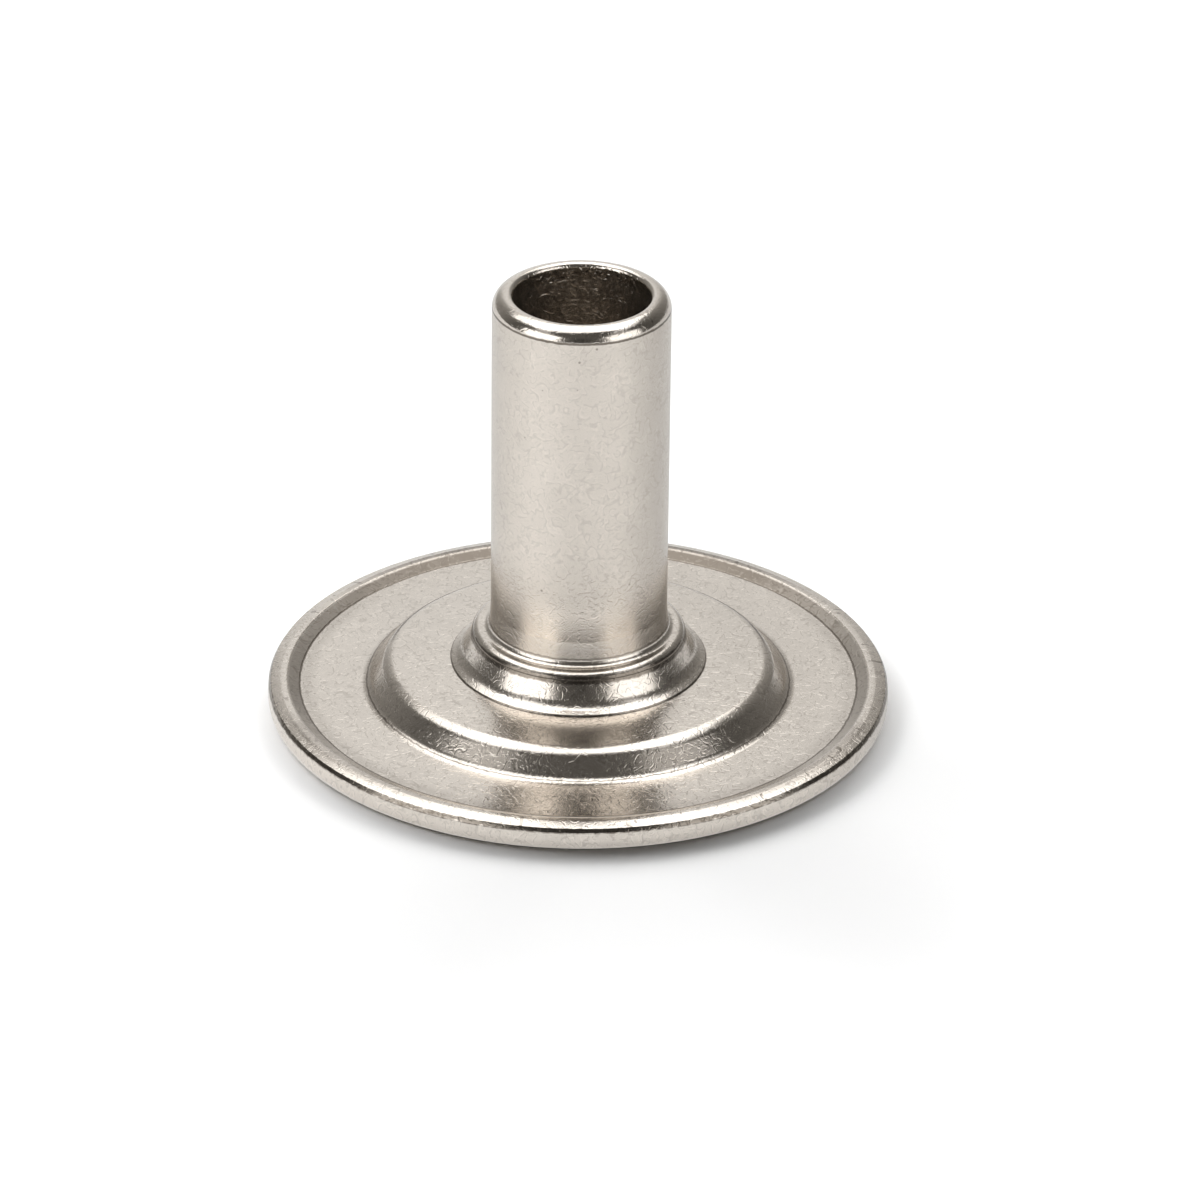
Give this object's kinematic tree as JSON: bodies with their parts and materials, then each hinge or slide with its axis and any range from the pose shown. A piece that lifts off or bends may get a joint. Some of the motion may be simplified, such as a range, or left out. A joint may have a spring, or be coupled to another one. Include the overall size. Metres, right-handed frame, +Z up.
{
  "type": "eyelet",
  "caption": "Drawn metal eyelet with a long hollow barrel on a stepped round flange, made to pass through cloth or leather and be set over at the tip.",
  "frame": {"origin": "centre of the flat underside of the flange, on the axis of the barrel", "axes": "+Z up along the axis of the barrel towards its open tip; the shell is a figure of revolution about Z, so X and Y are free"},
  "size_m": [0.011, 0.011, 0.0079],
  "materials": {
    "nickel_plate": "warm grey nickel plate, bright and lightly satined, with a fine orange-peel grain from the press"
  },
  "bodies": {
    "root": {"eyelet": "nickel_plate"}
  },
  "joints": []
}
